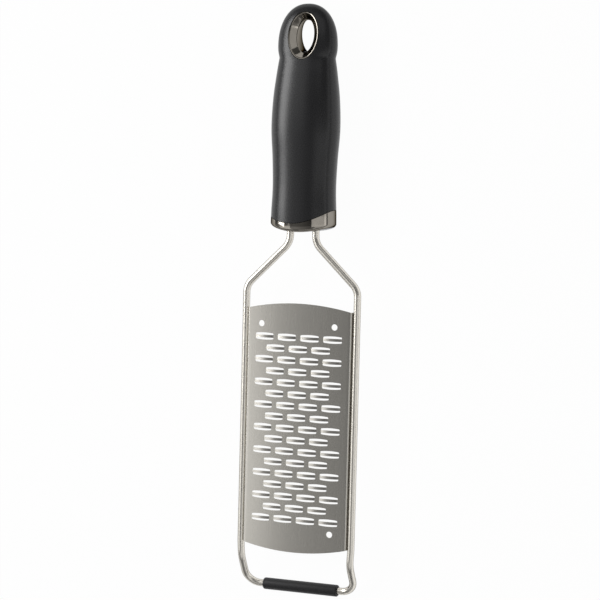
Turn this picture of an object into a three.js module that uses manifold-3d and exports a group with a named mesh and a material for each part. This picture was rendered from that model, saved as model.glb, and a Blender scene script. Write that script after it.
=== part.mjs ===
// Hand grater: a perforated steel blade welded into a bent rod frame, with an overmoulded
// handle at one end and a rubber foot at the other. Millimetres, +Z up: the grater lies on its
// back with the cutting face up and the handle towards +Y.
import * as THREE from "three";
import { mergeVertices } from "three/addons/utils/BufferGeometryUtils.js";
import Module from "manifold-3d";

const wasm = await Module();
wasm.setup();

// Clearances
const MOULD_GAP = 0.3; // between a moulding and what it is moulded round
const WELD_GAP = 0.15; // between the blade's flange and the rail that it is welded to

// Rod frame. Y = 0 is the middle of the blade, Z = 0 the plane of the rails
const ROD_DIAMETER = 3.8;
const RAIL_SPACING = 64.8;
const SHANK_SPACING = 14.8;
const SHOULDER_RUN = 12.5; // along Y from the blade's flanges to the corner where the rails end
const NECK_RUN = 24; // from there to the corner where the shanks begin
const SHANK_LENGTH = 52; // from there into the handle
const FOLD_RUN = 8.2; // from the blade's flanges to the corner where the legs fold back
const FOOT_RUN = 15.9; // from there to the cross bar in the foot
const TOE_IN = 0.5; // how far each leg leans inwards between the blade and the fold
const NECK_BEND = 10; // bend radii on the rod's centre line
const SHOULDER_BEND = 9;
const TOE_BEND = 30;
const FOLD_BEND = 14;
const FOOT_BEND = 8;
const ROD_SIDES = 10;
const BEND_STEP = THREE.MathUtils.degToRad(12);

// Rubber foot
const FOOT_LENGTH = 43.8;
const FOOT_DIAMETER = 6.4;
const FOOT_FLAT = 2.85; // height of the rod's centre above the foot's flat sole
const FOOT_ROUNDING = 0.9;
const FOOT_SIDES = 20;

// Blade
const SHEET = 0.5;
const BLADE_LENGTH = 127.6; // along the flanges
const SHEET_SHIFT = 0.4; // how far the sheet reaches further towards the handle than the pattern
const BLADE_END_RISE = 3.6; // how far each arched end reaches past the flanges
const CROWN_RADIUS = 418;
const BLADE_BEND = 1.1; // outer radius between the crowned face and a flange
const BLADE_STAND = 2.5; // from the rail's centre up to the edge of the crowned face
const FLANGE_DEPTH = 5;
const CROWN_STEPS = 5;
const BLADE_BEND_STEPS = 3;
const ROUND_HOLE_DIAMETER = 3.4;
const HOLE_FROM_LEFT = 8.55; // from the blade's sides to the middle of a round hole
const HOLE_FROM_RIGHT = 9.55;
const HOLE_FROM_TOP = 8.1; // from the ends of its flanges
const HOLE_FROM_BOTTOM = 7.9;
const ROUND_HOLE_SIDES = 16;

// Cutting ribbons: staggered windows, each with an arched double-edged strap along its middle
const ROWS = 17;
const ROWS_FROM_END = 14.52; // from the flange's end to the middle of the first row
const SLOTS_IN_LONG_ROW = 4;
const SLOT_PITCH = 13.26;
const SLOT_LENGTH = 10.7;
const SLOT_HEIGHT = 3.9;
const SLOT_END_HEIGHT = 3.3;
const SLOT_CORNER = 0.6;
const STRAP_WIDTH = 1.5;
const STRAP_EDGE = 0.3; // how much narrower the strap is underneath, for its two cutting edges
const STRAP_SHEET = 0.4;
const STRAP_RISE = 0.7;
const STRAP_ROOT = 0.45; // how far a strap runs on into the sheet at each end
const STRAP_STEPS = 4;

// Handle, measured along Y from its lower end
const HANDLE_FROM_NECK = 6.1; // between the neck's corner and the handle
const HANDLE_LENGTH = 121.5;
const BELLY_HALF_WIDTH = 19.1;
const BELLY_HALF_THICKNESS = 12;
const GRIP_WALL = 3;
const SKIN_MESH = { sides: 32, bodyRings: 10, headRings: 11 };
const CORE_MESH = { sides: 16, bodyRings: 5, headRings: 7 };
const SECTION_POWER = 2.25; // superellipse power of the handle's oval section
// The grip's body: heights as shares of the handle's length, sizes as shares of the belly's
const BODY_STATIONS = [
  { at: 0, width: 0.958, thickness: 0.942 },
  { at: 0.074, width: 0.948, thickness: 0.942 },
  { at: 0.198, width: 0.921, thickness: 0.933 },
  { at: 0.321, width: 0.948, thickness: 0.958 },
  { at: 0.453, width: 1, thickness: 1 },
  { at: 0.584, width: 0.969, thickness: 0.955 },
  { at: 0.691, width: 0.89, thickness: 0.83 },
  { at: 0.765, width: 0.818, thickness: 0.715 },
  { at: 0.831, width: 0.728, thickness: 0.66 },
];
const HEAD_HALF_WIDTH = 16.75;
const HEAD_LENGTH = 22.3; // from where the rounded head is widest up to the tip
const HEAD_BELOW = 16; // length of the head's ellipse down towards the body
const HEAD_POWER = 2.2;
const TAPER_LENGTH = 29; // over which the front and back round over to the tip
const TIP_SHARE = 0.97; // share of the quarter turn over the tip, which ends in a small flat
const END_SHARES = [0.02, 0.5]; // sizes of the inner rings on the flat of the lower end
const END_ROUNDING = 1.6;
const ROUNDING_STEPS = 3;
const END_BOW = 3.3; // how far the sides of the lower end stand back from its middle
const END_BOW_FADE = 22;

// Plated collar at the handle's lower end
const COLLAR_FRONT = 4.9; // height of its wavy top edge in the middle of the front and back
const COLLAR_LEFT = 8.3; // and at the sides
const COLLAR_RIGHT = 12.3;
const COLLAR_FLOOR = 3; // thickness of its closed bottom
const WAVE_STEPS = 24;

// Plated eyelet through the head: an oval tube that flares out to a rounded rim on each side
const EYELET_FROM_TIP = 17.2; // from the handle's tip down to the eyelet's centre
const THROAT_HALF_WIDTH = 4.6;
const THROAT_HALF_LENGTH = 8.5;
const THROAT_DRAFT = 0.3; // how much wider the throat is where the flares begin
const LIP_WIDTH = 3.6; // across the handle
const LIP_LENGTH = 3.7; // along the handle
const LIP_DEPTH = 3.4;
const LIP_EDGE = 0.8; // thickness of the lip's outer edge
const RIM_HEIGHT = 0.4;
const RIM_SHARE = 0.2; // width of the rounded rim, as a share of the lip
const RIM_STEPS = 3;
const EYELET_WALL = 1.3;
const EYELET_SIDES = 26;

// Worked-out values
const rodRadius = ROD_DIAMETER / 2;
const railX = RAIL_SPACING / 2;
const shankX = SHANK_SPACING / 2;
const flangeEndY = BLADE_LENGTH / 2;
const shoulderY = flangeEndY + SHOULDER_RUN;
const neckY = shoulderY + NECK_RUN;
const shankTopY = neckY + SHANK_LENGTH;
const foldY = -flangeEndY - FOLD_RUN;
const footY = foldY - FOOT_RUN;
const bladeHalfWidth = railX - rodRadius - WELD_GAP;
const rowPitch = (BLADE_LENGTH - 2 * ROWS_FROM_END) / (ROWS - 1);
const handleBottomY = neckY + HANDLE_FROM_NECK;
const headHeight = HANDLE_LENGTH - HEAD_LENGTH;
const taperHeight = HANDLE_LENGTH - TAPER_LENGTH;
const eyeletHeight = HANDLE_LENGTH - EYELET_FROM_TIP;
const railHeight = BELLY_HALF_THICKNESS; // the handle's back rests on the table
const footDrop = railHeight - FOOT_FLAT;
const middleY = (handleBottomY + HANDLE_LENGTH + footY - FOOT_DIAMETER / 2) / 2;
const throughDepth = 6 * BELLY_HALF_THICKNESS; // of a cutter that passes right through

// Solids

function solidOf(geometry) {
  const bare = geometry.clone();
  for (const name of Object.keys(bare.attributes)) {
    if (name !== "position") bare.deleteAttribute(name);
  }
  const merged = mergeVertices(bare);
  const vertProperties = new Float32Array(merged.attributes.position.array);
  const triVerts = new Uint32Array(merged.index.array);
  return new wasm.Manifold(new wasm.Mesh({ numProp: 3, vertProperties, triVerts }));
}

function geometryOf(solid) {
  const { vertProperties, triVerts } = solid.getMesh();
  const geometry = new THREE.BufferGeometry();
  geometry.setAttribute("position", new THREE.BufferAttribute(vertProperties, 3));
  geometry.setIndex(new THREE.BufferAttribute(triVerts, 1));
  geometry.computeVertexNormals();
  return geometry;
}

function union(solids) {
  return solids.reduce((joined, solid) => joined.add(solid));
}

// A skin over rings of points, each running anticlockwise about the way the rings follow on.
// Its ends are closed by fans, or the last ring joins the first where the rings go round.
function loft(rings, goesRound = false) {
  const count = rings[0].length;
  const points = rings.flat();
  const faces = [];
  const joins = goesRound ? rings.length : rings.length - 1;
  for (let ring = 0; ring < joins; ring++) {
    const here = ring * count;
    const above = ((ring + 1) % rings.length) * count;
    for (let side = 0; side < count; side++) {
      const next = (side + 1) % count;
      faces.push(here + side, here + next, above + next);
      faces.push(here + side, above + next, above + side);
    }
  }
  if (!goesRound) {
    const last = (rings.length - 1) * count;
    const firstHub = points.length;
    const lastHub = firstHub + 1;
    for (const ring of [rings[0], rings[rings.length - 1]]) {
      const hub = new THREE.Vector3();
      ring.forEach((point) => hub.add(point));
      points.push(hub.divideScalar(count));
    }
    for (let side = 0; side < count; side++) {
      const next = (side + 1) % count;
      faces.push(firstHub, next, side);
      faces.push(lastHub, last + side, last + next);
    }
  }
  const geometry = new THREE.BufferGeometry().setFromPoints(points);
  geometry.setIndex(faces);
  return geometry;
}

// Points along an arc round (x, y).
function arcPoints(x, y, radius, from, to, steps) {
  const points = [];
  for (let i = 0; i <= steps; i++) {
    const angle = from + ((to - from) * i) / steps;
    points.push(new THREE.Vector2(x + radius * Math.cos(angle), y + radius * Math.sin(angle)));
  }
  return points;
}

function extrude(points, depth) {
  const geometry = new THREE.ExtrudeGeometry(new THREE.Shape(points), {
    depth,
    bevelEnabled: false,
  });
  return geometry.translate(0, 0, -depth / 2);
}

// A straight bar along Y, for boring holes.
function borer(x, radius, fromY, toY) {
  const outside = radius / Math.cos(Math.PI / ROD_SIDES);
  const geometry = new THREE.CylinderGeometry(outside, outside, toY - fromY, ROD_SIDES);
  return solidOf(geometry.translate(x, (fromY + toY) / 2, 0));
}

// Rod frame

// The points of a path with each inner corner rounded by its bend radius.
function bentPath(corners) {
  const path = [corners[0].at];
  for (let i = 1; i + 1 < corners.length; i++) {
    const { at, bend } = corners[i];
    const towards = corners[i - 1].at.clone().sub(at).normalize();
    const away = corners[i + 1].at.clone().sub(at).normalize();
    const turn = Math.PI - towards.angleTo(away);
    const middle = towards.clone().add(away).normalize();
    const centre = at.clone().addScaledVector(middle, bend / Math.cos(turn / 2));
    const tangent = bend * Math.tan(turn / 2);
    const start = at.clone().addScaledVector(towards, tangent).sub(centre);
    const axis = towards.clone().cross(away).normalize();
    const steps = Math.ceil(turn / BEND_STEP);
    for (let step = 0; step <= steps; step++) {
      path.push(start.clone().applyAxisAngle(axis, (-turn * step) / steps).add(centre));
    }
  }
  path.push(corners[corners.length - 1].at);
  return path;
}

function sweep(path, radius) {
  const rings = [];
  let side = new THREE.Vector3(0, 0, 1);
  path.forEach((point, i) => {
    const before = path[Math.max(i - 1, 0)];
    const after = path[Math.min(i + 1, path.length - 1)];
    const along = after.clone().sub(before).normalize();
    side = side.clone().addScaledVector(along, -side.dot(along)).normalize();
    const other = along.clone().cross(side);
    rings.push(
      Array.from({ length: ROD_SIDES }, (_, k) => {
        const angle = (2 * Math.PI * k) / ROD_SIDES;
        const offset = side.clone().multiplyScalar(radius * Math.cos(angle));
        return offset.addScaledVector(other, radius * Math.sin(angle)).add(point);
      }),
    );
  });
  return loft(rings);
}

function rodFrame() {
  const half = (sign) => [
    { at: new THREE.Vector3(sign * shankX, shankTopY, 0) },
    { at: new THREE.Vector3(sign * shankX, neckY, 0), bend: NECK_BEND },
    { at: new THREE.Vector3(sign * railX, shoulderY, 0), bend: SHOULDER_BEND },
    { at: new THREE.Vector3(sign * railX, -flangeEndY, 0), bend: TOE_BEND },
    { at: new THREE.Vector3(sign * (railX - TOE_IN), foldY, 0), bend: FOLD_BEND },
    { at: new THREE.Vector3(sign * (railX - TOE_IN), footY, -footDrop), bend: FOOT_BEND },
  ];
  return sweep(bentPath([...half(-1), ...half(1).reverse()]), rodRadius);
}

// Rubber foot: a sleeve round the cross bar with a flat sole
function footSleeve() {
  const radius = FOOT_DIAMETER / 2;
  const half = FOOT_LENGTH / 2;
  const [endX, endRadius] = [FOOT_ROUNDING - half, radius - FOOT_ROUNDING];
  const end = arcPoints(endX, endRadius, FOOT_ROUNDING, Math.PI, Math.PI / 2, ROUNDING_STEPS);
  const otherEnd = end.map((point) => new THREE.Vector2(-point.x, point.y)).reverse();
  const rings = [...end, ...otherEnd].map(({ x, y: ringRadius }) =>
    Array.from({ length: FOOT_SIDES }, (_, k) => {
      const angle = (2 * Math.PI * (k + 0.5)) / FOOT_SIDES;
      const z = Math.max(ringRadius * Math.sin(angle), -FOOT_FLAT);
      return new THREE.Vector3(x, ringRadius * Math.cos(angle), z);
    }),
  );
  const bore = borer(0, rodRadius + MOULD_GAP, -FOOT_LENGTH, FOOT_LENGTH);
  const sleeve = solidOf(loft(rings)).subtract(bore.rotate([0, 0, 90]));
  return geometryOf(sleeve.translate([0, footY, -footDrop]));
}

// Blade

// Section across the blade: a crowned face that turns down into a flange along each rail.
function bladeSection() {
  const lean = Math.asin((bladeHalfWidth - BLADE_BEND) / (CROWN_RADIUS - BLADE_BEND));
  const bendX = bladeHalfWidth - BLADE_BEND;
  const bendZ = BLADE_STAND - BLADE_BEND;
  const crownZ = bendZ - (CROWN_RADIUS - BLADE_BEND) * Math.cos(lean);
  const bend = (x, inset, from, to) =>
    arcPoints(x, bendZ, BLADE_BEND - inset, from, to, BLADE_BEND_STEPS);
  const skin = (inset) => [
    new THREE.Vector2(-bladeHalfWidth + inset, BLADE_STAND - FLANGE_DEPTH),
    ...bend(-bendX, inset, Math.PI, Math.PI / 2 + lean),
    ...arcPoints(0, crownZ, CROWN_RADIUS - inset, Math.PI / 2 + lean, Math.PI / 2 - lean, CROWN_STEPS)
      .slice(1, -1),
    ...bend(bendX, inset, Math.PI / 2 - lean, 0),
    new THREE.Vector2(bladeHalfWidth - inset, BLADE_STAND - FLANGE_DEPTH),
  ];
  return { outline: [...skin(0), ...skin(SHEET).reverse()], crownZ };
}

// Plan of the blade: straight sides and an arc over each end.
function bladePlan() {
  const side = bladeHalfWidth + WELD_GAP;
  const radius = (side ** 2 + BLADE_END_RISE ** 2) / (2 * BLADE_END_RISE);
  const reach = Math.asin(side / radius);
  const centre = flangeEndY + BLADE_END_RISE - radius;
  const end = arcPoints(0, centre, radius, Math.PI / 2 - reach, Math.PI / 2 + reach, 4 * CROWN_STEPS);
  const outline = [...end, ...end.map((point) => point.clone().negate())];
  return outline.map((point) => point.setY(point.y + SHEET_SHIFT));
}

// A window with bowed long sides and rounded corners.
function slotOutline() {
  const half = SLOT_LENGTH / 2;
  const endHalf = SLOT_END_HEIGHT / 2;
  const [cornerX, cornerY] = [half - SLOT_CORNER, endHalf - SLOT_CORNER];
  const corner = (x, y, from) =>
    arcPoints(x * cornerX, y * cornerY, SLOT_CORNER, from, from + Math.PI / 2, 1);
  return [
    ...corner(1, 1, 0),
    new THREE.Vector2(0, SLOT_HEIGHT / 2),
    ...corner(-1, 1, Math.PI / 2),
    ...corner(-1, -1, Math.PI),
    new THREE.Vector2(0, -SLOT_HEIGHT / 2),
    ...corner(1, -1, 1.5 * Math.PI),
  ];
}

// An arched strap along X, wider on top, so that both of its long edges are blades.
function strap() {
  const half = SLOT_LENGTH / 2;
  const inSheet = (SHEET - STRAP_SHEET) / 2;
  const ring = (x, lift) => {
    const top = lift - inSheet;
    const [wide, narrow] = [STRAP_WIDTH / 2, STRAP_WIDTH / 2 - STRAP_EDGE];
    return [
      new THREE.Vector3(x, -wide, top),
      new THREE.Vector3(x, wide, top),
      new THREE.Vector3(x, narrow, top - STRAP_SHEET),
      new THREE.Vector3(x, -narrow, top - STRAP_SHEET),
    ];
  };
  const rings = [ring(-half - STRAP_ROOT, 0)];
  for (let i = 0; i <= STRAP_STEPS; i++) {
    const share = i / STRAP_STEPS;
    rings.push(ring((share - 0.5) * SLOT_LENGTH, STRAP_RISE * 4 * share * (1 - share)));
  }
  rings.push(ring(half + STRAP_ROOT, 0));
  return loft(rings.map((points) => points.reverse()));
}

// Every place of the ribbon pattern, as a matrix from a flat cell to the crowned face.
function ribbonPlaces(crownZ) {
  const places = [];
  for (let row = 0; row < ROWS; row++) {
    const count = SLOTS_IN_LONG_ROW - (row % 2);
    const y = ((ROWS - 1) / 2 - row) * rowPitch;
    for (let i = 0; i < count; i++) {
      const angle = ((i - (count - 1) / 2) * SLOT_PITCH) / CROWN_RADIUS;
      const place = new THREE.Matrix4().makeRotationY(angle);
      place.setPosition(CROWN_RADIUS * Math.sin(angle), y, crownZ + CROWN_RADIUS * Math.cos(angle));
      places.push(place);
    }
  }
  return places;
}

function blade() {
  const { outline, crownZ } = bladeSection();
  const channel = extrude(outline, BLADE_LENGTH + 4 * BLADE_END_RISE).rotateX(Math.PI / 2);
  const sheet = solidOf(channel).intersect(solidOf(extrude(bladePlan(), throughDepth)));

  const places = ribbonPlaces(crownZ);
  const window = extrude(slotOutline(), FLANGE_DEPTH);
  const windows = places.map((place) => solidOf(window.clone().applyMatrix4(place)));
  const straps = places.map((place) => solidOf(strap().applyMatrix4(place)));
  const radius = ROUND_HOLE_DIAMETER / 2;
  const [left, right] = [HOLE_FROM_LEFT - bladeHalfWidth, bladeHalfWidth - HOLE_FROM_RIGHT];
  const top = flangeEndY + SHEET_SHIFT - HOLE_FROM_TOP;
  const bottom = HOLE_FROM_BOTTOM + SHEET_SHIFT - flangeEndY;
  const holes = [[left, top], [right, top], [right, bottom]].map(([x, y]) => {
    const hole = new THREE.CylinderGeometry(radius, radius, throughDepth, ROUND_HOLE_SIDES);
    return solidOf(hole.rotateX(Math.PI / 2).translate(x, y, 0));
  });
  return geometryOf(sheet.subtract(union([...windows, ...holes])).add(union(straps)));
}

// Handle form

// A curve through the body's stations, which gives a half size at each height.
function throughStations(key, bellySize) {
  const heights = new Float32Array(BODY_STATIONS.map((station) => station.at * HANDLE_LENGTH));
  const values = new Float32Array(BODY_STATIONS.map((station) => station[key] * bellySize));
  const curve = new THREE.CubicInterpolant(heights, values, 1, new Float32Array(1));
  return (height) => curve.evaluate(height)[0];
}

const bodyWidth = throughStations("width", BELLY_HALF_WIDTH);
const bodyThickness = throughStations("thickness", BELLY_HALF_THICKNESS);
const bodyTop = BODY_STATIONS[BODY_STATIONS.length - 1].at * HANDLE_LENGTH;
const endWidth = bodyWidth(0);

function roundedOver(share, power) {
  return Math.max(0, 1 - Math.abs(share) ** power) ** (1 / power);
}

// Half width of the handle, or of a form inset below it: the body's curve, then the round head.
function halfWidth(height, inset) {
  const body = height < bodyTop ? bodyWidth(height) - inset : 0;
  const above = height - headHeight;
  const reach = above > 0 ? HEAD_LENGTH - inset : HEAD_BELOW;
  return Math.max(body, (HEAD_HALF_WIDTH - inset) * roundedOver(above / reach, HEAD_POWER));
}

function halfThickness(height, inset) {
  if (height < taperHeight) return bodyThickness(height) - inset;
  const share = (height - taperHeight) / (TAPER_LENGTH - inset);
  return (bodyThickness(taperHeight) - inset) * roundedOver(share, 2);
}

// Height of the handle's front above its middle plane.
function frontZ(x, height) {
  return halfThickness(height, 0) * roundedOver(x / halfWidth(height, 0), SECTION_POWER);
}

// How far the lower end's sides stand back, fading out up the handle.
function endBow(x, height) {
  const fade = 1 - THREE.MathUtils.smoothstep(height, 0, END_BOW_FADE);
  return END_BOW * fade * (x / endWidth) ** 2;
}

// A ring round the handle, or a smaller one on the flat of its end where share is under 1.
function handleRing(height, inset, sides, share = 1) {
  const width = halfWidth(height, inset) * share;
  const thickness = halfThickness(height, inset) * share;
  return Array.from({ length: sides }, (_, k) => {
    const angle = (-2 * Math.PI * k) / sides;
    const [c, s] = [Math.cos(angle), Math.sin(angle)];
    const x = width * Math.sign(c) * Math.abs(c) ** (2 / SECTION_POWER);
    const z = thickness * Math.sign(s) * Math.abs(s) ** (2 / SECTION_POWER);
    return new THREE.Vector3(x, handleBottomY + height + endBow(x, height), z);
  });
}

// The handle's outer form, or one inset below it, from a height up to the tip.
function handleForm(inset, fromHeight, rounding, { sides, bodyRings, headRings }) {
  const rings = END_SHARES.map((share) => handleRing(fromHeight, inset + rounding, sides, share));
  for (let i = 0; i < (rounding ? ROUNDING_STEPS : 0); i++) {
    const turn = (i * Math.PI) / 2 / ROUNDING_STEPS;
    const ring = handleRing(fromHeight, inset + rounding * (1 - Math.sin(turn)), sides);
    rings.push(ring.map((point) => point.setY(point.y + rounding * (1 - Math.cos(turn)))));
  }
  const bodyFrom = fromHeight + rounding;
  for (let i = 0; i < bodyRings; i++) {
    rings.push(handleRing(bodyFrom + ((taperHeight - bodyFrom) * i) / bodyRings, inset, sides));
  }
  for (let i = 0; i <= headRings; i++) {
    const share = Math.sin((TIP_SHARE * Math.PI * i) / headRings / 2);
    rings.push(handleRing(taperHeight + (TAPER_LENGTH - inset) * share, inset, sides));
  }
  return solidOf(loft(rings));
}

// Everything below the wave that parts collar from grip, with the wave moved down by a gap.
function belowWave(gap) {
  const halfSpan = 1.5 * endWidth;
  const slope = (COLLAR_RIGHT - COLLAR_LEFT) / 2 / endWidth;
  const rise = ((COLLAR_RIGHT + COLLAR_LEFT) / 2 - COLLAR_FRONT) / endWidth ** 2;
  const wave = Array.from({ length: WAVE_STEPS + 1 }, (_, i) => {
    const x = halfSpan * (1 - (2 * i) / WAVE_STEPS);
    return new THREE.Vector2(x, handleBottomY + COLLAR_FRONT + slope * x + rise * x ** 2 - gap);
  });
  const floor = handleBottomY - HANDLE_LENGTH;
  const outline = [...wave, new THREE.Vector2(-halfSpan, floor), new THREE.Vector2(halfSpan, floor)];
  return solidOf(extrude(outline, throughDepth));
}

// Eyelet

// A ring outside the throat by a share of the lip and a gap. The height of each of its points is
// worked out from the height of the handle's front where the lip ends on that side.
function eyeletRing(share, gap, heightOf) {
  const width = THROAT_HALF_WIDTH + THROAT_DRAFT;
  const length = THROAT_HALF_LENGTH + THROAT_DRAFT;
  return Array.from({ length: EYELET_SIDES }, (_, k) => {
    const angle = (2 * Math.PI * k) / EYELET_SIDES;
    const [c, s] = [Math.cos(angle), Math.sin(angle)];
    const front = frontZ((width + LIP_WIDTH) * c, eyeletHeight + (length + LIP_LENGTH) * s);
    const x = (width + LIP_WIDTH * share + gap) * c;
    const y = handleBottomY + eyeletHeight + (length + LIP_LENGTH * share + gap) * s;
    return new THREE.Vector3(x, y, heightOf(front));
  });
}

const mirrored = (rings) =>
  rings.map((ring) => ring.map((point) => point.clone().setZ(-point.z))).reverse();

// Rings up the outside of the eyelet's front half, a gap outside its tube and lip.
function eyeletOutside(gap) {
  return [
    eyeletRing(0, EYELET_WALL + gap, (front) => front - LIP_DEPTH - gap),
    eyeletRing(1, gap, (front) => front - LIP_EDGE - gap),
  ];
}

function hangEyelet() {
  const rim = [];
  for (let i = 0; i <= RIM_STEPS; i++) {
    const turn = (i * Math.PI) / 2 / RIM_STEPS;
    const drop = RIM_HEIGHT * (1 - Math.cos(turn));
    rim.push(eyeletRing(1 - RIM_SHARE * Math.sin(turn), 0, (front) => front - drop));
  }
  const flareFoot = eyeletRing(0, 0, (front) => front - LIP_DEPTH);
  const front = [...eyeletOutside(0), ...rim, flareFoot];
  const throat = eyeletRing(0, -THROAT_DRAFT, () => 0);
  return loft([...front, throat, ...mirrored(front)], true);
}

// The hole that the eyelet sits in.
function eyeletHole() {
  const beyond = eyeletRing(1, MOULD_GAP, () => throughDepth / 2);
  const front = [...eyeletOutside(MOULD_GAP), beyond];
  return solidOf(loft([...mirrored(front), ...front]));
}

// Handle pieces

const outerForm = handleForm(0, 0, END_ROUNDING, SKIN_MESH);
const cavity = handleForm(GRIP_WALL - MOULD_GAP, COLLAR_FLOOR, 0, CORE_MESH);

function shankBores(fromY, toY) {
  const radius = rodRadius + MOULD_GAP;
  return union([-1, 1].map((sign) => borer(sign * shankX, radius, fromY, toY)));
}

function handleCore() {
  const form = handleForm(GRIP_WALL, COLLAR_FLOOR + MOULD_GAP, 0, CORE_MESH);
  const bores = shankBores(handleBottomY, shankTopY + MOULD_GAP);
  return geometryOf(form.subtract(eyeletHole()).subtract(bores));
}

function handleGrip() {
  return geometryOf(outerForm.subtract(belowWave(0)).subtract(cavity).subtract(eyeletHole()));
}

function collar() {
  const bores = shankBores(handleBottomY - HANDLE_LENGTH, shankTopY);
  return geometryOf(outerForm.intersect(belowWave(MOULD_GAP)).subtract(cavity).subtract(bores));
}

// Assembly

const steel = { roughness: 0.28, metalness: 1 };
const plated = { color: 0x3a3430, roughness: 0.2, metalness: 0.9 };
const rubber = { color: 0x2a2a2c, roughness: 0.75, metalness: 0 };

const pieces = [
  ["wire_frame", rodFrame(), { color: 0xc9c5bd, ...steel }],
  ["blade", blade(), { color: 0xd2d2d0, ...steel }],
  ["foot_sleeve", footSleeve(), rubber],
  ["handle_core", handleCore(), { color: 0x55565a, roughness: 0.5, metalness: 0 }],
  ["handle_grip", handleGrip(), rubber],
  ["collar", collar(), plated],
  ["hang_eyelet", hangEyelet(), plated],
];

const part = new THREE.Group();
part.name = "hand_grater";
for (const [name, geometry, look] of pieces) {
  const mesh = new THREE.Mesh(geometry, new THREE.MeshStandardMaterial(look));
  mesh.name = name;
  mesh.position.set(0, -middleY, railHeight);
  part.add(mesh);
}

export default part;
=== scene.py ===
import math

import bpy
from mathutils import Matrix, Vector


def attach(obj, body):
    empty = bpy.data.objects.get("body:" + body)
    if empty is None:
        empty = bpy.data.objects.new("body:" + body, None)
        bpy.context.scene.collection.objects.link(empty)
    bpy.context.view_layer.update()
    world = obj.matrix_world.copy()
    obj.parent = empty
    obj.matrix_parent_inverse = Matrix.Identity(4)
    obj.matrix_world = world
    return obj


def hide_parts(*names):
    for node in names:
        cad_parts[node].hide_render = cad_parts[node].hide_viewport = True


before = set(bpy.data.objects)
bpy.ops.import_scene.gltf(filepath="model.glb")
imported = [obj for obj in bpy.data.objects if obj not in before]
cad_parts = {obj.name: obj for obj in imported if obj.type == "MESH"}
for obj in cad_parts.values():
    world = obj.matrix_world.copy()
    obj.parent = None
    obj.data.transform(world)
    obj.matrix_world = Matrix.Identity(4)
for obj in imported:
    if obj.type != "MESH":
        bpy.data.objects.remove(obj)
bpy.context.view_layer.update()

MM = 0.001
QUARTER = math.pi / 2
FULL_TURN = 2 * math.pi

# Camera: how far it is turned, raised and rolled from straight above the cutting face, and its
# place from the blade's crown along its own right, up and back directions
VIEW_TURN = math.radians(23.23)
VIEW_RAISE = math.radians(3.96)
VIEW_ROLL = math.radians(-1.44)
VIEW_RIGHT = 2.33 * MM
VIEW_UP = 69.58 * MM
VIEW_BACK = 1237.4 * MM
LENS = 138
SENSOR_WIDTH = 36

# Rod frame, in millimetres from the middle of the blade's pattern in the plane of the rails
ROD_DIAMETER = 3.8
RAIL_SPACING = 64.8
SHANK_SPACING = 14.8
SHANK_TOP_Y = 152.3
NECK_Y = 100.3
SHOULDER_Y = 76.3
TOE_Y = -63.8
TOE_IN = 0.5
FOLD_Y = -72
FOOT_Y = -87.9
NECK_BEND = 10
SHOULDER_BEND = 9
TOE_BEND = 30
FOLD_BEND = 14
FOOT_BEND = 8
RAIL_HEIGHT = 12
ROD_SIDES = 28
BEND_STEP = math.radians(4)

# Rubber foot
FOOT_LENGTH = 43.8
FOOT_DIAMETER = 6.4
FOOT_FLAT = 2.85
FOOT_BORE = 4.4
FOOT_ROUNDING = 0.9
FOOT_SIDES = 48
FOOT_ROUNDING_STEPS = 6

# Blade
SHEET = 0.5
BLADE_LENGTH = 127.6
BLADE_END_RISE = 3.6
SHEET_SHIFT = 0.4
BLADE_HALF_WIDTH = 30.35
CROWN_RADIUS = 418
BLADE_BEND = 1.1
BLADE_STAND = 2.5
FLANGE_DEPTH = 5
PLAN_MARGIN = 0.2
BLADE_BEND_STEPS = 6
CROWN_STEPS = 40
PLAN_STEPS = 48
ROUND_HOLE_DIAMETER = 3.4
ROUND_HOLES = [(-21.8, 56.1), (20.8, 56.1), (20.8, -55.5)]
ROUND_HOLE_SIDES = 40
ROWS = 17
ROW_PITCH = 6.16
SLOTS_IN_LONG_ROW = 4
SLOT_PITCH = 13.26
SLOT_LENGTH = 10.7
SLOT_HEIGHT = 3.9
SLOT_END_HEIGHT = 3.3
SLOT_CORNER = 0.6
SLOT_CORNER_STEPS = 4
SLOT_BOW_STEPS = 8
SLOT_CUT_REACH = 2
STRAP_WIDTH = 1.5
STRAP_EDGE = 0.3
STRAP_SHEET = 0.4
STRAP_RISE = 0.7
STRAP_ROOT = 0.45
STRAP_STEPS = 20

# Handle, measured along Y from its lower end
HANDLE_BOTTOM_Y = 106.4
HANDLE_LENGTH = 121.5
SECTION_POWER = 2.25
BODY_HEIGHTS = [0, 9, 24, 39, 55, 71, 84, 93, 101]
BODY_WIDTHS = [18.3, 18.1, 17.6, 18.1, 19.1, 18.5, 17, 15.62, 13.9]
BODY_THICKNESSES = [11.3, 11.3, 11.2, 11.5, 12, 11.46, 9.96, 8.58, 7.92]
HEAD_HEIGHT = 99.2
HEAD_HALF_WIDTH = 16.75
HEAD_BELOW = 16
HEAD_POWER = 2.2
TAPER_HEIGHT = 92.5
TAPER_POWER = 2
END_ROUNDING = 1.6
END_BOW = 3.3
END_BOW_FADE = 22
COLLAR_FRONT = 4.9
COLLAR_LEFT = 8.3
COLLAR_RIGHT = 12.3
SEAM = 0.3

# Facets of the handle: the rings inside its flat lower end as shares of that end, the share of a
# quarter turn that the head's rings cover, and the least half size of a ring
HANDLE_SIDES = 96
END_RINGS = (0.02, 0.5)
END_ROUNDING_STEPS = 8
BODY_STEPS = 60
HEAD_STEPS = 40
HEAD_REACH = 0.985
LEAST_HALF_SIZE = 0.02

# Cutters for the handle: the wave between collar and grip, and how far they reach front and back
WAVE_STEPS = 80
WAVE_SPAN = 1.5 * BODY_WIDTHS[0]
HANDLE_CUT_REACH = 40

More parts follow.
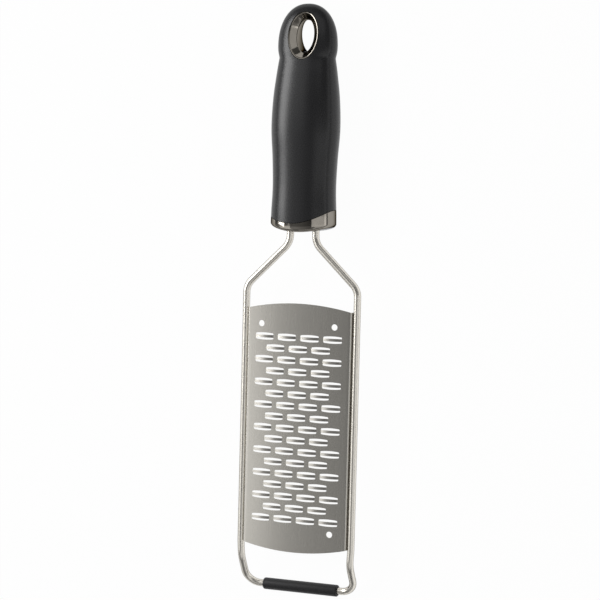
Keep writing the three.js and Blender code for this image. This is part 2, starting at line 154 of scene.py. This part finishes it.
# Eyelet, whose flare ends in a curve given as shares of the lip's width and of its depth
EYELET_HEIGHT = 104.3
THROAT_HALF_WIDTH = 4.6
THROAT_HALF_LENGTH = 8.5
THROAT_DRAFT = 0.3
LIP_WIDTH = 3.6
LIP_LENGTH = 3.7
LIP_DEPTH = 3.4
LIP_EDGE = 0.8
RIM_HEIGHT = 0.4
RIM_SHARE = 0.2
RIM_STEPS = 8
FLARE_END = [(0.14, 0.87), (0.06, 0.945), (0.015, 1.01), (0, 1.1)]
EYELET_WALL = 1.3
EYELET_SIDES = 96

# Angles in degrees, above which an edge stays sharp
CREASE = 30
FOOT_CREASE = 50
BLADE_CREASE = 25
HANDLE_CREASE = 35

# Noise in the materials: its detail, the part of it that the colours span, and the bump's depth
NOISE_DETAIL = 4
NOISE_LOW = 0.3
NOISE_HIGH = 0.7
BUMP_DEPTH = 0.02 * MM

# Stage, in metres, with the share of the floor's look that is plain white, also in metal
STAGE_RADIUS = 4
STAGE_RINGS = (0.05, 0.5)
COVE_RADIUS = 0.4
COVE_STEPS = 8
STAGE_WALL = 0.6
STAGE_SIDES = 96
FLOOR_DROP = 0.0002
FLOOR_GREY = 0.9
FLOOR_ROUGHNESS = 0.9
WHITE_SHARE = 0.97

# Studio: grey levels of the surroundings by direction, across the blade and along the grater,
# and lamps in metres and watts as name, place, aim, length, breadth and power
WORLD_ACROSS = [(-1, 0.3), (-0.4, 0.4), (-0.2, 0.3), (0.12, 0.15), (0.4, 0.3), (1, 0.35)]
WORLD_ALONG = [(-1, 0.55), (-0.35, 0.55), (-0.25, 1), (-0.065, 1), (-0.04, 0.4), (1, 0.4)]
LAMPS = [
    ("upper_softbox", (-0.95, 0.4, 0.73), (0, 0.1, 0), 0.88, 0.5, 9.2),
    ("lower_softbox", (-0.86, -0.26, 0.83), (0, -0.1, 0), 0.44, 0.7, 0.9),
    ("fill_card", (-0.51, 0.55, 1.09), (0, 0.55, 0), 0.86, 0.55, 0.9),
    ("low_card", (0.03, -0.8, 1), (0, 0, 0), 0.9, 0.6, 0.85),
    ("high_card", (0.15, 0.8, 1), (0, 0, 0), 0.9, 0.6, 0.85),
    ("top_card", (1.03, -0.035, 1.23), (0, -0.035, 0), 0.17, 1.85, 0.89),
    ("upper_panel", (1.1, 0.72, 0.47), (0, 0.72, 0), 1.5, 0.3, 0.95),
    ("lower_panel", (0.85, -0.65, 0.85), (0, -0.65, 0), 1.1, 1.1, 1.9),
]

MIDDLE_Y = (HANDLE_BOTTOM_Y + HANDLE_LENGTH + FOOT_Y - FOOT_DIAMETER / 2) / 2
FOOT_DROP = RAIL_HEIGHT - FOOT_FLAT
LEAN = math.asin((BLADE_HALF_WIDTH - BLADE_BEND) / (CROWN_RADIUS - BLADE_BEND))
CROWN_Z = BLADE_STAND - BLADE_BEND - (CROWN_RADIUS - BLADE_BEND) * math.cos(LEAN)
CROWN_TOP = CROWN_Z + CROWN_RADIUS


# Mesh helpers

def in_row(point):
    """A point of the tool's own millimetres as metres in the row frame."""
    return Vector((point[0], point[1] - MIDDLE_Y, point[2] + RAIL_HEIGHT)) * MM


def mesh_object(name, points, faces):
    mesh = bpy.data.meshes.new(name)
    mesh.from_pydata([in_row(p) for p in points], [], faces)
    mesh.validate()
    obj = bpy.data.objects.new(name, mesh)
    bpy.context.scene.collection.objects.link(obj)
    return obj


def skin_over(rings, goes_round=False):
    """Points and faces over rings that run anticlockwise about the way they follow on."""
    count = len(rings[0])
    points = [p for ring in rings for p in ring]
    faces = []
    for ring in range(len(rings) if goes_round else len(rings) - 1):
        here = ring * count
        above = (ring + 1) % len(rings) * count
        for side in range(count):
            after = (side + 1) % count
            faces.append((here + side, here + after, above + after, above + side))
    if not goes_round:
        last = (len(rings) - 1) * count
        faces.append(tuple(reversed(range(count))))
        faces.append(tuple(range(last, last + count)))
    return points, faces


def loft(name, rings, goes_round=False):
    points, faces = skin_over(rings, goes_round)
    return mesh_object(name, points, faces)


def joined(name, skins):
    """One object from lists of points and faces."""
    points = []
    faces = []
    for skin_points, skin_faces in skins:
        base = len(points)
        points += skin_points
        faces += [tuple(base + i for i in face) for face in skin_faces]
    return mesh_object(name, points, faces)


def prism(name, outline, reach):
    """An outline of (x, y) points, pulled as far down as up."""
    return loft(name, [[(x, y, z) for x, y in outline] for z in (-reach, reach)])


def cut(obj, cutter, operation="DIFFERENCE"):
    modifier = obj.modifiers.new("cut", "BOOLEAN")
    modifier.operation = operation
    modifier.solver = "EXACT"
    modifier.object = cutter
    graph = bpy.context.evaluated_depsgraph_get()
    mesh = bpy.data.meshes.new_from_object(obj.evaluated_get(graph))
    obj.modifiers.clear()
    obj.data = mesh
    bpy.data.objects.remove(cutter)


def smooth(obj, degrees=CREASE):
    obj.data.polygons.foreach_set("use_smooth", [True] * len(obj.data.polygons))
    obj.data.set_sharp_from_angle(angle=math.radians(degrees))


def finish_piece(obj, node, material):
    obj.data.materials.clear()
    obj.data.materials.append(material)
    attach(obj, "root")
    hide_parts(node)


def turns_round(sides):
    return [FULL_TURN * k / sides for k in range(sides)]


def arc(x, y, radius, start, end, steps):
    turns = [start + (end - start) * i / steps for i in range(steps + 1)]
    return [(x + radius * math.cos(t), y + radius * math.sin(t)) for t in turns]


# Materials

def noise_over(nodes, links, stretch, scale):
    """Noise in the row frame, stretched by a scale for each axis."""
    place = nodes.new("ShaderNodeTexCoord")
    mapping = nodes.new("ShaderNodeMapping")
    mapping.inputs["Scale"].default_value = stretch
    noise = nodes.new("ShaderNodeTexNoise")
    noise.inputs["Scale"].default_value = scale
    noise.inputs["Detail"].default_value = NOISE_DETAIL
    links.new(place.outputs["Object"], mapping.inputs["Vector"])
    links.new(mapping.outputs["Vector"], noise.inputs["Vector"])
    return noise.outputs["Fac"]


def ramp_between(nodes, links, source, low, high):
    ramp = nodes.new("ShaderNodeValToRGB")
    first, last = ramp.color_ramp.elements
    first.position = NOISE_LOW
    last.position = NOISE_HIGH
    first.color = (*low, 1)
    last.color = (*high, 1)
    links.new(source, ramp.inputs["Fac"])
    return ramp.outputs["Color"]


def textured(name, low, high, metallic, roughness, scale, stretch=(1, 1, 1), bump=0, edge=1, gloss=0.5):
    """A material whose colour, roughness and relief follow one noise.

    The edge is the grey that a metal's outline is tinted with, and the gloss is the specular level.
    """
    material = bpy.data.materials.new(name)
    material.use_nodes = True
    nodes = material.node_tree.nodes
    links = material.node_tree.links
    shader = nodes["Principled BSDF"]
    shader.inputs["Metallic"].default_value = metallic
    shader.inputs["Specular Tint"].default_value = (edge, edge, edge, 1)
    shader.inputs["Specular IOR Level"].default_value = gloss
    noise = noise_over(nodes, links, stretch, scale)
    colour = ramp_between(nodes, links, noise, low, high)
    links.new(colour, shader.inputs["Base Color"])
    spread = nodes.new("ShaderNodeMapRange")
    spread.inputs["To Min"].default_value = roughness[0]
    spread.inputs["To Max"].default_value = roughness[1]
    links.new(noise, spread.inputs["Value"])
    links.new(spread.outputs["Result"], shader.inputs["Roughness"])
    if bump:
        relief = nodes.new("ShaderNodeBump")
        relief.inputs["Strength"].default_value = bump
        relief.inputs["Distance"].default_value = BUMP_DEPTH
        links.new(noise, relief.inputs["Height"])
        links.new(relief.outputs["Normal"], shader.inputs["Normal"])
    return material


def make_materials():
    return {
        "blade": textured(
            "brushed_blade",
            low=(0.53, 0.51, 0.467),
            high=(0.555, 0.535, 0.49),
            metallic=1,
            roughness=(0.24, 0.29),
            scale=60,
            stretch=(60, 1, 60),
            bump=0.03,
        ),
        "rod": textured(
            "polished_rod",
            low=(0.76, 0.725, 0.66),
            high=(0.81, 0.775, 0.705),
            metallic=1,
            roughness=(0.25, 0.31),
            scale=300,
            edge=0.05,
        ),
        "rubber": textured(
            "foot_rubber",
            low=(0.012, 0.012, 0.013),
            high=(0.016, 0.016, 0.017),
            metallic=0,
            roughness=(0.45, 0.55),
            scale=900,
            bump=0.1,
            gloss=0.4,
        ),
        "grip": textured(
            "soft_grip",
            low=(0.017, 0.017, 0.018),
            high=(0.021, 0.021, 0.0225),
            metallic=0,
            roughness=(0.26, 0.29),
            scale=2600,
            bump=0.03,
            gloss=0.42,
        ),
        "plated": textured(
            "dark_plating",
            low=(0.26, 0.24, 0.212),
            high=(0.3, 0.28, 0.248),
            metallic=1,
            roughness=(0.06, 0.1),
            scale=200,
            edge=0.05,
        ),
        "core": textured(
            "core_plastic",
            low=(0.18, 0.18, 0.19),
            high=(0.22, 0.22, 0.23),
            metallic=0,
            roughness=(0.5, 0.6),
            scale=400,
        ),
    }


# Rod frame

def bent_path(corners):
    """The points of a path whose inner corners are rounded by their bend radii."""
    path = [corners[0][0]]
    for (before, _), (at, bend), (after, _) in zip(corners, corners[1:], corners[2:]):
        towards = (before - at).normalized()
        away = (after - at).normalized()
        turn = math.pi - towards.angle(away)
        centre = at + (towards + away).normalized() * bend / math.cos(turn / 2)
        start = at + towards * bend * math.tan(turn / 2) - centre
        axis = towards.cross(away)
        steps = max(2, math.ceil(turn / BEND_STEP))
        for step in range(steps + 1):
            path.append(Matrix.Rotation(-turn * step / steps, 3, axis) @ start + centre)
    path.append(corners[-1][0])
    return path


def rod_frame():
    rail = RAIL_SPACING / 2
    leg = rail - TOE_IN
    shank = SHANK_SPACING / 2

    def half(sign):
        return [
            (Vector((sign * shank, SHANK_TOP_Y, 0)), 0),
            (Vector((sign * shank, NECK_Y, 0)), NECK_BEND),
            (Vector((sign * rail, SHOULDER_Y, 0)), SHOULDER_BEND),
            (Vector((sign * rail, TOE_Y, 0)), TOE_BEND),
            (Vector((sign * leg, FOLD_Y, 0)), FOLD_BEND),
            (Vector((sign * leg, FOOT_Y, -FOOT_DROP)), FOOT_BEND),
        ]

    path = bent_path(half(-1) + half(1)[::-1])
    radius = ROD_DIAMETER / 2
    turns = turns_round(ROD_SIDES)
    side = Vector((0, 0, 1))
    rings = []
    for i, point in enumerate(path):
        along = (path[min(i + 1, len(path) - 1)] - path[max(i - 1, 0)]).normalized()
        side = (side - along * side.dot(along)).normalized()
        other = along.cross(side)
        rings.append([point + (side * math.cos(t) + other * math.sin(t)) * radius for t in turns])
    obj = loft("rod_frame", rings)
    smooth(obj)
    return obj


# Rubber foot

def foot_sleeve():
    half = FOOT_LENGTH / 2
    radius = FOOT_DIAMETER / 2
    corner = [QUARTER * i / FOOT_ROUNDING_STEPS for i in range(FOOT_ROUNDING_STEPS + 1)]
    left = [
        (-half + FOOT_ROUNDING * (1 - math.sin(t)), radius - FOOT_ROUNDING * (1 - math.cos(t)))
        for t in reversed(corner)
    ]
    outside = left + [(-x, r) for x, r in reversed(left)]
    bore = [(half, FOOT_BORE / 2), (-half, FOOT_BORE / 2)]
    turns = turns_round(FOOT_SIDES)
    rings = []
    for x, ring_radius in outside + bore:
        ring = [(ring_radius * math.cos(t), max(ring_radius * math.sin(t), -FOOT_FLAT)) for t in turns]
        rings.append([(x, y + FOOT_Y, z - FOOT_DROP) for y, z in ring])
    obj = loft("foot_rubber", rings, goes_round=True)
    smooth(obj, FOOT_CREASE)
    return obj


# Blade

def blade_sheet():
    bend_x = BLADE_HALF_WIDTH - BLADE_BEND
    bend_z = BLADE_STAND - BLADE_BEND
    foot = BLADE_STAND - FLANGE_DEPTH

    def skin(inset):
        edge = BLADE_BEND - inset
        side = BLADE_HALF_WIDTH - inset
        left = arc(-bend_x, bend_z, edge, math.pi, QUARTER + LEAN, BLADE_BEND_STEPS)
        face = arc(0, CROWN_Z, CROWN_RADIUS - inset, QUARTER + LEAN, QUARTER - LEAN, CROWN_STEPS)
        right = arc(bend_x, bend_z, edge, QUARTER - LEAN, 0, BLADE_BEND_STEPS)
        return [(-side, foot), *left, *face[1:-1], *right, (side, foot)]

    section = skin(0) + skin(SHEET)[::-1]
    reach = BLADE_LENGTH / 2 + 2 * BLADE_END_RISE
    sheet = loft("blade_sheet", [[(x, y, z) for x, z in section] for y in (-reach, reach)])

    side = BLADE_HALF_WIDTH + PLAN_MARGIN
    radius = (side**2 + BLADE_END_RISE**2) / (2 * BLADE_END_RISE)
    turn = math.asin(side / radius)
    centre = BLADE_LENGTH / 2 + BLADE_END_RISE - radius
    end = arc(0, centre, radius, QUARTER - turn, QUARTER + turn, PLAN_STEPS)
    plan = [(x, y + SHEET_SHIFT) for x, y in end] + [(-x, -y + SHEET_SHIFT) for x, y in end]
    cut(sheet, prism("plan", plan, 2 * FLANGE_DEPTH), "INTERSECT")
    return sheet


def slot_places():
    """The lean and the middle of each slot on the crowned face."""
    for row in range(ROWS):
        count = SLOTS_IN_LONG_ROW - row % 2
        y = ((ROWS - 1) / 2 - row) * ROW_PITCH
        for i in range(count):
            turn = (i - (count - 1) / 2) * SLOT_PITCH / CROWN_RADIUS
            x = CROWN_RADIUS * math.sin(turn)
            yield turn, Vector((x, y, CROWN_Z + CROWN_RADIUS * math.cos(turn)))


def placed(turn, origin, ring):
    lean = Matrix.Rotation(turn, 3, "Y")
    return [lean @ Vector(point) + origin for point in ring]


def slot_outline():
    half = SLOT_LENGTH / 2
    end = SLOT_END_HEIGHT / 2
    rise = SLOT_HEIGHT / 2 - end
    straight = half - SLOT_CORNER

    def side(sign):
        corner = arc(straight, end - SLOT_CORNER, SLOT_CORNER, 0, QUARTER, SLOT_CORNER_STEPS)
        bow = [straight - 2 * straight * i / SLOT_BOW_STEPS for i in range(1, SLOT_BOW_STEPS)]
        top = [(x, end + rise * (1 - (x / straight) ** 2)) for x in bow]
        run = corner + top + [(-x, y) for x, y in reversed(corner)]
        return [(sign * x, sign * y) for x, y in run]

    return side(1) + side(-1)


def slot_cutter(turn, origin):
    outline = slot_outline()
    rings = [[(x, y, z) for x, y in outline] for z in (-SLOT_CUT_REACH, SLOT_CUT_REACH)]
    return skin_over([placed(turn, origin, ring) for ring in rings])


def strap(turn, origin):
    """A narrow strip with two edges that arches up through a slot."""
    half = SLOT_LENGTH / 2
    inside = (SHEET - STRAP_SHEET) / 2
    wide = STRAP_WIDTH / 2
    narrow = wide - STRAP_EDGE
    stations = [(-half - STRAP_ROOT, 0)]
    for i in range(STRAP_STEPS + 1):
        share = i / STRAP_STEPS
        stations.append(((share - 0.5) * SLOT_LENGTH, STRAP_RISE * 4 * share * (1 - share)))
    stations.append((half + STRAP_ROOT, 0))
    rings = []
    for x, lift in stations:
        top = lift - inside
        under = top - STRAP_SHEET
        ring = [(x, -narrow, under), (x, narrow, under), (x, wide, top), (x, -wide, top)]
        rings.append(placed(turn, origin, ring))
    return skin_over(rings)


def blade():
    sheet = blade_sheet()
    cut(sheet, joined("windows", [slot_cutter(*place) for place in slot_places()]))
    for x, y in ROUND_HOLES:
        circle = arc(x, y, ROUND_HOLE_DIAMETER / 2, 0, FULL_TURN, ROUND_HOLE_SIDES)[:-1]
        cut(sheet, prism("hole", circle, 2 * FLANGE_DEPTH))
    cut(sheet, joined("straps", [strap(*place) for place in slot_places()]), "UNION")
    sheet.name = "ribbon_blade"
    smooth(sheet, BLADE_CREASE)
    return sheet


# Handle

def eased(share):
    return share * share * (3 - 2 * share)


def through(values, height):
    """A smooth curve through the values at the stations of the grip's body."""
    heights = BODY_HEIGHTS
    at = max(k for k in range(len(heights) - 1) if height >= heights[k] or k == 0)

    def slope(k):
        low = max(k - 1, 0)
        high = min(k + 1, len(heights) - 1)
        return (values[high] - values[low]) / (heights[high] - heights[low])

    span = heights[at + 1] - heights[at]
    share = (height - heights[at]) / span
    rest = 1 - share
    leaving = (1 + 2 * share) * rest**2 * values[at] + share * rest**2 * span * slope(at)
    coming = eased(share) * values[at + 1] + share * share * (share - 1) * span * slope(at + 1)
    return leaving + coming


def rounded_over(share, power):
    return max(0, 1 - abs(share) ** power) ** (1 / power)


def half_width(height):
    body = through(BODY_WIDTHS, height) if height < BODY_HEIGHTS[-1] else 0
    above = height - HEAD_HEIGHT
    reach = HANDLE_LENGTH - HEAD_HEIGHT if above > 0 else HEAD_BELOW
    head = HEAD_HALF_WIDTH * rounded_over(above / reach, HEAD_POWER)
    return max(body, head)


def half_thickness(height):
    if height < TAPER_HEIGHT:
        return through(BODY_THICKNESSES, height)
    share = (height - TAPER_HEIGHT) / (HANDLE_LENGTH - TAPER_HEIGHT)
    return through(BODY_THICKNESSES, TAPER_HEIGHT) * rounded_over(share, TAPER_POWER)


def front_z(x, height):
    return half_thickness(height) * rounded_over(x / half_width(height), SECTION_POWER)


def end_bow(x, height):
    share = min(max(height / END_BOW_FADE, 0), 1)
    return END_BOW * (1 - eased(share)) * (x / BODY_WIDTHS[0]) ** 2


def oval(part):
    """A sine or cosine that is drawn out to the handle's squarer oval."""
    return math.copysign(abs(part) ** (2 / SECTION_POWER), part)


def handle_ring(height, inset, lift=0, share=1):
    width = max(half_width(height) - inset, LEAST_HALF_SIZE) * share
    thickness = max(half_thickness(height) - inset, LEAST_HALF_SIZE) * share
    ring = []
    for turn in turns_round(HANDLE_SIDES):
        x = width * oval(math.cos(-turn))
        z = thickness * oval(math.sin(-turn))
        ring.append((x, HANDLE_BOTTOM_Y + height + lift + end_bow(x, height), z))
    return ring


def handle_form(name):
    rings = [handle_ring(0, END_ROUNDING, share=share) for share in END_RINGS]
    for i in range(END_ROUNDING_STEPS):
        turn = QUARTER * i / END_ROUNDING_STEPS
        inset = END_ROUNDING * (1 - math.sin(turn))
        lift = END_ROUNDING * (1 - math.cos(turn))
        rings.append(handle_ring(0, inset, lift))
    for i in range(BODY_STEPS):
        height = END_ROUNDING + (TAPER_HEIGHT - END_ROUNDING) * i / BODY_STEPS
        rings.append(handle_ring(height, 0))
    for i in range(HEAD_STEPS + 1):
        share = math.sin(HEAD_REACH * QUARTER * i / HEAD_STEPS)
        rings.append(handle_ring(TAPER_HEIGHT + (HANDLE_LENGTH - TAPER_HEIGHT) * share, 0))
    return loft(name, rings)


def below_wave(gap):
    """All that lies below the wavy edge between collar and grip, less a gap."""
    slope = (COLLAR_RIGHT - COLLAR_LEFT) / 2 / BODY_WIDTHS[0]
    rise = ((COLLAR_RIGHT + COLLAR_LEFT) / 2 - COLLAR_FRONT) / BODY_WIDTHS[0] ** 2
    xs = [WAVE_SPAN * (1 - 2 * i / WAVE_STEPS) for i in range(WAVE_STEPS + 1)]
    wave = [(x, HANDLE_BOTTOM_Y + COLLAR_FRONT + slope * x + rise * x * x - gap) for x in xs]
    floor = HANDLE_BOTTOM_Y - HANDLE_LENGTH
    corners = [(-WAVE_SPAN, floor), (WAVE_SPAN, floor)]
    return prism("below_wave", wave + corners, HANDLE_CUT_REACH)


def eyelet_ring(share, gap, height_of):
    """A ring at a share of the lip's width, whose height is worked out from the handle's front."""
    width = THROAT_HALF_WIDTH + THROAT_DRAFT
    length = THROAT_HALF_LENGTH + THROAT_DRAFT
    ring = []
    for turn in turns_round(EYELET_SIDES):
        across = math.cos(turn)
        along = math.sin(turn)
        front = front_z((width + LIP_WIDTH) * across, EYELET_HEIGHT + (length + LIP_LENGTH) * along)
        x = (width + LIP_WIDTH * share + gap) * across
        y = HANDLE_BOTTOM_Y + EYELET_HEIGHT + (length + LIP_LENGTH * share + gap) * along
        ring.append((x, y, height_of(front)))
    return ring


def mirrored(rings):
    return [[(x, y, -z) for x, y, z in ring] for ring in reversed(rings)]


def eyelet_outside(gap):
    return [
        eyelet_ring(0, EYELET_WALL + gap, lambda front: front - LIP_DEPTH - gap),
        eyelet_ring(1, gap, lambda front: front - LIP_EDGE - gap),
    ]


def eyelet_hole():
    beyond = eyelet_ring(1, SEAM, lambda front: HANDLE_CUT_REACH)
    front = [*eyelet_outside(SEAM), beyond]
    return loft("eyelet_hole", mirrored(front) + front)


def hang_eyelet():
    profile = []
    for i in range(RIM_STEPS + 1):
        turn = QUARTER * i / RIM_STEPS
        profile.append((1 - RIM_SHARE * math.sin(turn), RIM_HEIGHT * (1 - math.cos(turn))))
    profile += [(share, depth * LIP_DEPTH) for share, depth in FLARE_END]
    flare = [eyelet_ring(share, 0, lambda front, drop=drop: front - drop) for share, drop in profile]
    front = [*eyelet_outside(0), *flare]
    throat = eyelet_ring(0, -THROAT_DRAFT, lambda front: 0)
    obj = loft("eyelet_liner", [*front, throat, *mirrored(front)], goes_round=True)
    smooth(obj)
    return obj


def handle_grip():
    obj = handle_form("soft_grip")
    cut(obj, below_wave(0))
    cut(obj, eyelet_hole())
    smooth(obj, HANDLE_CREASE)
    return obj


def collar():
    obj = handle_form("plated_collar")
    cut(obj, below_wave(SEAM), "INTERSECT")
    smooth(obj, HANDLE_CREASE)
    return obj


# Stage, lamps and camera

def floor_mesh():
    """A round floor that sweeps up into a low wall."""
    cove = arc(STAGE_RADIUS - COVE_RADIUS, COVE_RADIUS, COVE_RADIUS, -QUARTER, 0, COVE_STEPS)
    flat = [(radius, 0) for radius in STAGE_RINGS]
    profile = [*flat, *cove, (STAGE_RADIUS, STAGE_WALL)]
    turns = turns_round(STAGE_SIDES)
    points = [(r * math.cos(t), r * math.sin(t), z - FLOOR_DROP) for r, z in profile for t in turns]
    faces = [tuple(range(STAGE_SIDES))]
    for ring in range(len(profile) - 1):
        for side in range(STAGE_SIDES):
            here = ring * STAGE_SIDES + side
            after = ring * STAGE_SIDES + (side + 1) % STAGE_SIDES
            faces.append((here, here + STAGE_SIDES, after + STAGE_SIDES, after))
    mesh = bpy.data.meshes.new("floor")
    mesh.from_pydata(points, [], faces)
    return mesh


def floor_material():
    """A pale surface that looks nearly plain white to the eye, in metal and through glass."""
    material = bpy.data.materials.new("pale_floor")
    material.use_nodes = True
    nodes = material.node_tree.nodes
    links = material.node_tree.links
    shader = nodes["Principled BSDF"]
    shader.inputs["Base Color"].default_value = (FLOOR_GREY, FLOOR_GREY, FLOOR_GREY, 1)
    shader.inputs["Roughness"].default_value = FLOOR_ROUGHNESS
    path = nodes.new("ShaderNodeLightPath")
    seen = path.outputs["Is Camera Ray"]
    for ray in ("Is Glossy Ray", "Is Transmission Ray"):
        either = nodes.new("ShaderNodeMath")
        either.operation = "MAXIMUM"
        links.new(seen, either.inputs[0])
        links.new(path.outputs[ray], either.inputs[1])
        seen = either.outputs["Value"]
    share = nodes.new("ShaderNodeMath")
    share.operation = "MULTIPLY"
    share.inputs[1].default_value = WHITE_SHARE
    links.new(seen, share.inputs[0])
    white = nodes.new("ShaderNodeEmission")
    white.inputs["Strength"].default_value = 1
    mix = nodes.new("ShaderNodeMixShader")
    links.new(share.outputs["Value"], mix.inputs["Fac"])
    links.new(shader.outputs["BSDF"], mix.inputs[1])
    links.new(white.outputs["Emission"], mix.inputs[2])
    links.new(mix.outputs["Shader"], nodes["Material Output"].inputs["Surface"])
    return material


def stage():
    floor = bpy.data.objects.new("floor", floor_mesh())
    bpy.context.scene.collection.objects.link(floor)
    smooth(floor)
    floor.data.materials.append(floor_material())


def area_light(name, place, aim, length, breadth, power):
    data = bpy.data.lights.new(name, "AREA")
    data.shape = "RECTANGLE"
    data.size = length
    data.size_y = breadth
    data.energy = power
    lamp = bpy.data.objects.new(name, data)
    lamp.location = place
    lamp.rotation_euler = (Vector(aim) - Vector(place)).to_track_quat("-Z", "Y").to_euler()
    bpy.context.scene.collection.objects.link(lamp)


def levels_over(nodes, links, direction, levels):
    """Grey levels over one part of the direction, from (-1, level) to (1, level)."""
    share = nodes.new("ShaderNodeMapRange")
    share.inputs["From Min"].default_value = -1
    links.new(direction, share.inputs["Value"])
    ramp = nodes.new("ShaderNodeValToRGB")
    stops = ramp.color_ramp.elements
    for at, level in levels:
        if at == -1:
            stop = stops[0]
        elif at == 1:
            stop = stops[-1]
        else:
            stop = stops.new((at + 1) / 2)
        stop.color = (level, level, level, 1)
    links.new(share.outputs["Result"], ramp.inputs["Fac"])
    return ramp.outputs["Color"]


def light():
    world = bpy.data.worlds.new("studio")
    bpy.context.scene.world = world
    world.use_nodes = True
    nodes = world.node_tree.nodes
    links = world.node_tree.links
    place = nodes.new("ShaderNodeTexCoord")
    axes = nodes.new("ShaderNodeSeparateXYZ")
    links.new(place.outputs["Generated"], axes.inputs["Vector"])
    across = levels_over(nodes, links, axes.outputs["X"], WORLD_ACROSS)
    along = levels_over(nodes, links, axes.outputs["Y"], WORLD_ALONG)
    links.new(across, nodes["Background"].inputs["Color"])
    links.new(along, nodes["Background"].inputs["Strength"])
    for lamp in LAMPS:
        area_light(*lamp)


def camera():
    roll = Matrix.Rotation(VIEW_ROLL, 3, "Z")
    raised = Matrix.Rotation(VIEW_RAISE, 3, "X")
    turned = Matrix.Rotation(-VIEW_TURN, 3, "Y")
    rotation = (roll @ raised @ turned).transposed()
    crown = in_row((0, 0, CROWN_TOP))
    place = crown + rotation @ Vector((VIEW_RIGHT, VIEW_UP, VIEW_BACK))
    data = bpy.data.cameras.new("camera")
    data.lens = LENS
    data.sensor_width = SENSOR_WIDTH
    obj = bpy.data.objects.new("camera", data)
    obj.matrix_world = Matrix.Translation(place) @ rotation.to_4x4()
    bpy.context.scene.collection.objects.link(obj)
    bpy.context.scene.camera = obj


materials = make_materials()
finish_piece(rod_frame(), "wire_frame", materials["rod"])
finish_piece(blade(), "blade", materials["blade"])
finish_piece(foot_sleeve(), "foot_sleeve", materials["rubber"])
finish_piece(handle_grip(), "handle_grip", materials["grip"])
finish_piece(collar(), "collar", materials["plated"])
finish_piece(hang_eyelet(), "hang_eyelet", materials["plated"])
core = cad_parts["handle_core"]
core.data.materials.clear()
core.data.materials.append(materials["core"])

stage()
light()
camera()
bpy.context.scene.view_settings.view_transform = "Standard"
